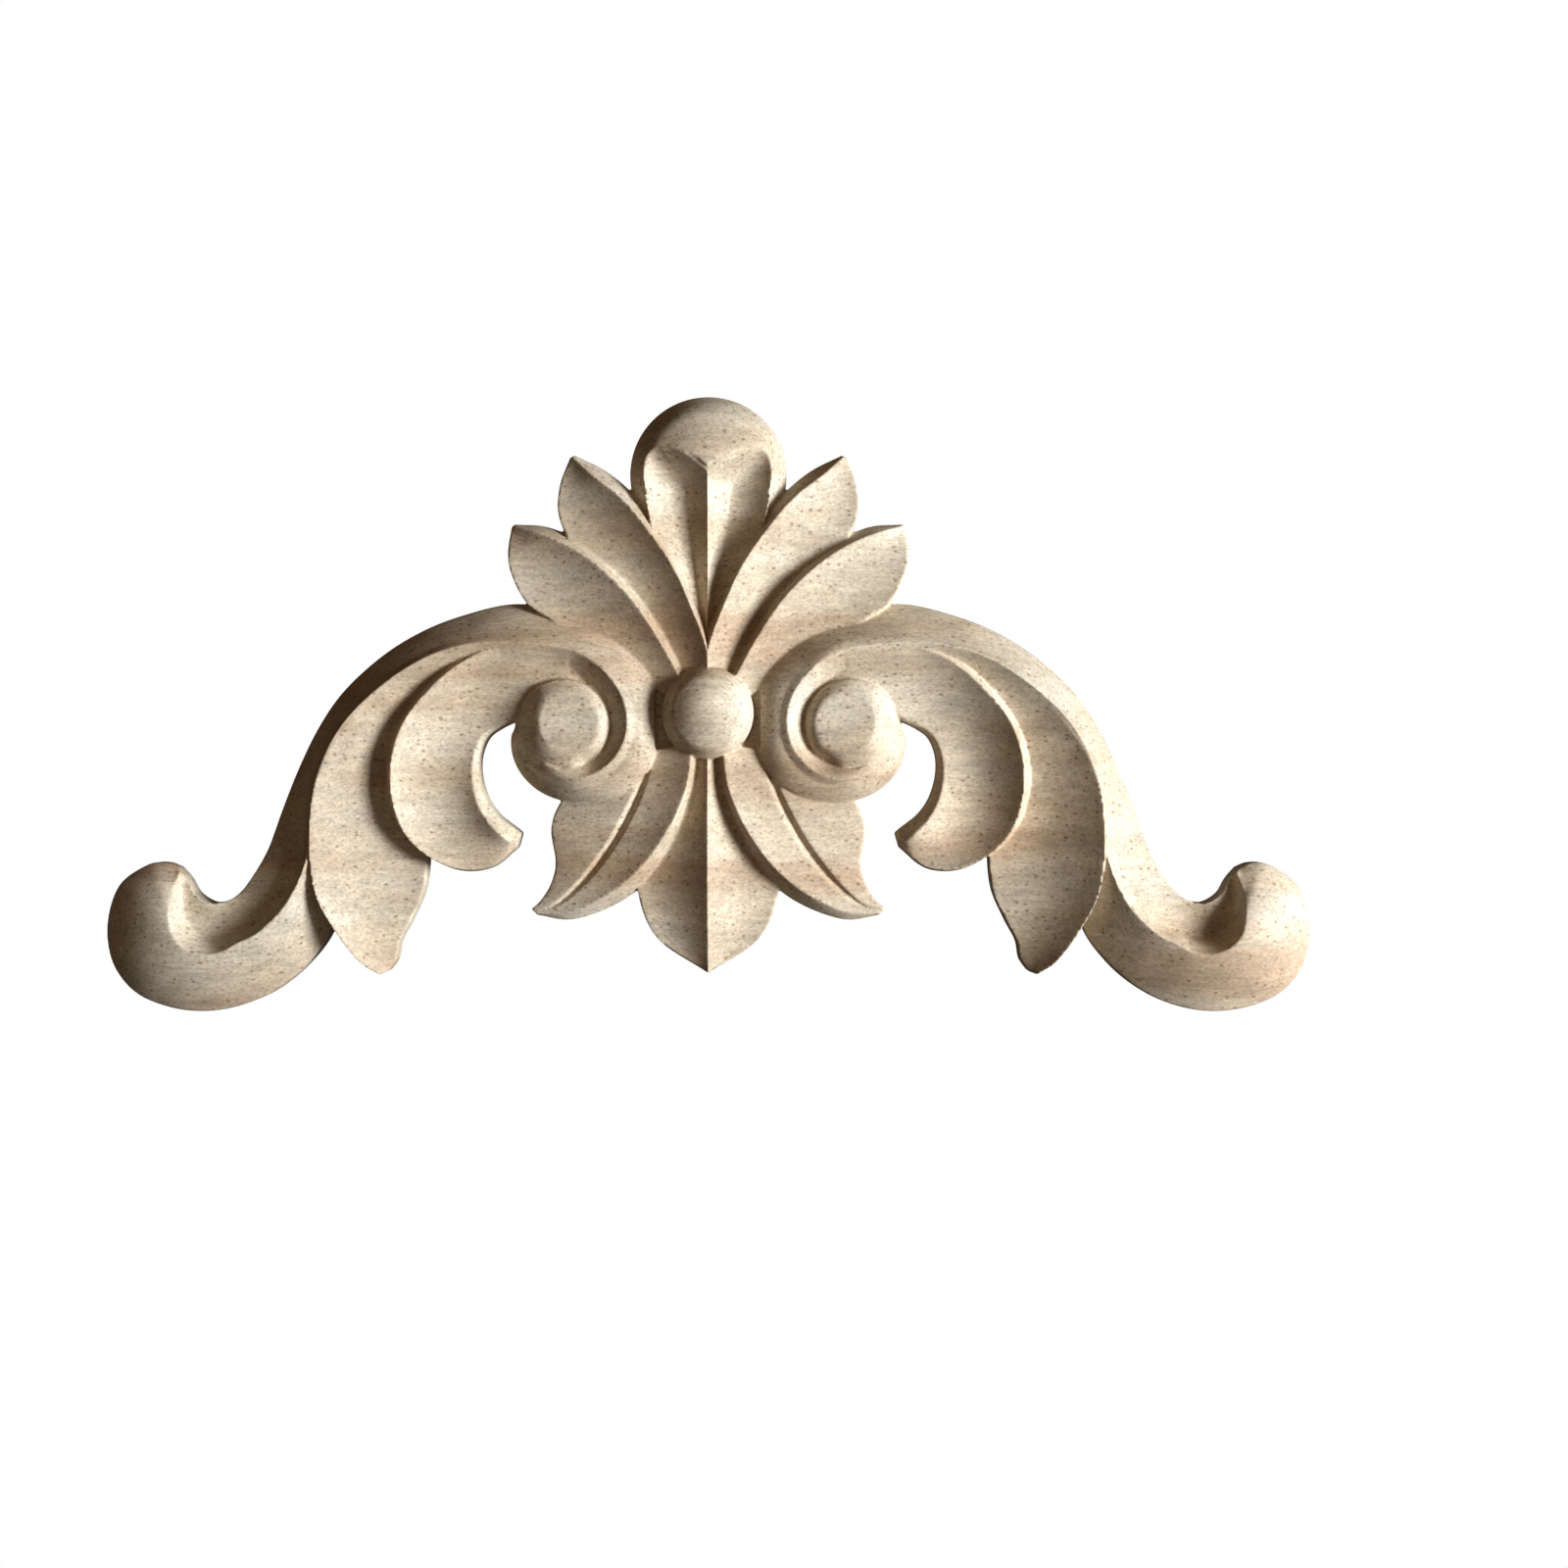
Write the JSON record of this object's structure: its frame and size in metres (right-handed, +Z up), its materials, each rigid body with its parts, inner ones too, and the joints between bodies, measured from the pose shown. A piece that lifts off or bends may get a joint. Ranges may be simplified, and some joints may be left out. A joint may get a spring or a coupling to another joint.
{
  "type": "wooden corner onlay",
  "caption": "Carved wooden onlay for a furniture front: a fluted top and pointed leaves over a ball, between scrolls that run out into arms with leaves and curled ends.",
  "frame": {"origin": "on the flat back, straight behind the ball in the middle", "axes": "+X along the onlay's width, +Y out of the flat back into the surface it is glued to, +Z up through the fluted top; the carving faces -Y"},
  "size_m": [0.2, 0.0128, 0.1022],
  "materials": {
    "wood": "pale hardwood, machine carved and sanded, unfinished, with small brown pores"
  },
  "bodies": {
    "root": {"carved_onlay": "wood"}
  },
  "joints": []
}
